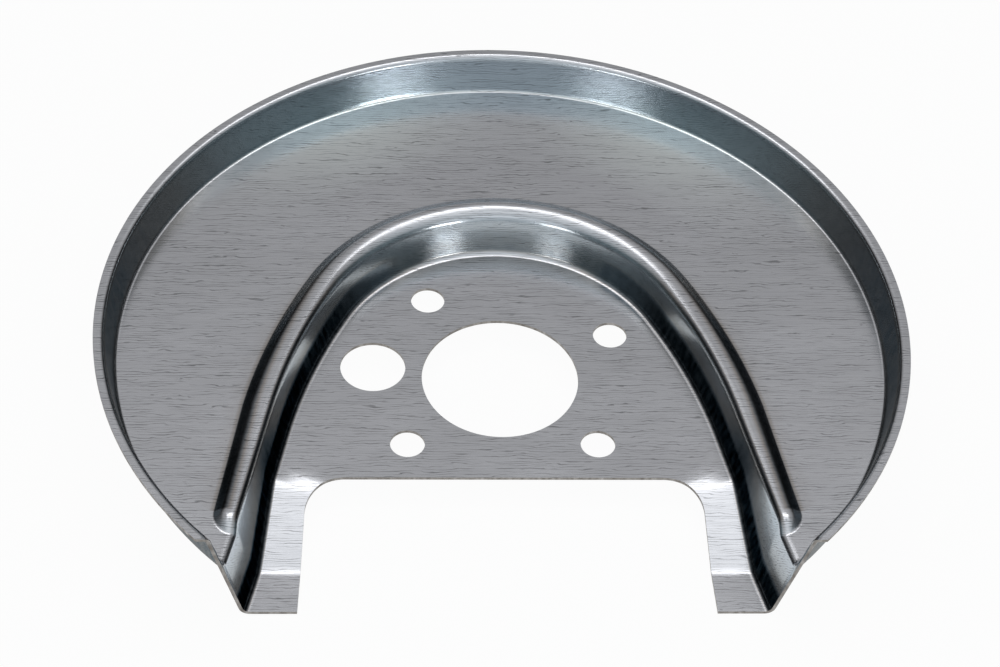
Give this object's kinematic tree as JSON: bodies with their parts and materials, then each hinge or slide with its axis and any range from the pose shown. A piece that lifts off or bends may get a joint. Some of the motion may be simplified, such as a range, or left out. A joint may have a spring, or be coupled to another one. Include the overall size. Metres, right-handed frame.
{
  "type": "brake dust shield",
  "caption": "Dished sheet-steel shield behind a brake disc, with a flanged rim, a sunken hub plate inside a horseshoe wall, bolt holes and a caliper notch between two legs.",
  "frame": {"origin": "centre of the hub bore on the outboard face of the hub plate", "axes": "+Z along the wheel axis, outboard, towards the rim's lip; the caliper notch opens towards -Y; +X to the right when the outboard face is seen with the notch at the bottom"},
  "size_m": [0.245, 0.2065, 0.034],
  "materials": {
    "zinc_sheet": "bare zinc-coated cold-rolled sheet, satin, with fine rolling grain along X"
  },
  "bodies": {
    "root": {"dust_shield": "zinc_sheet"}
  },
  "joints": []
}
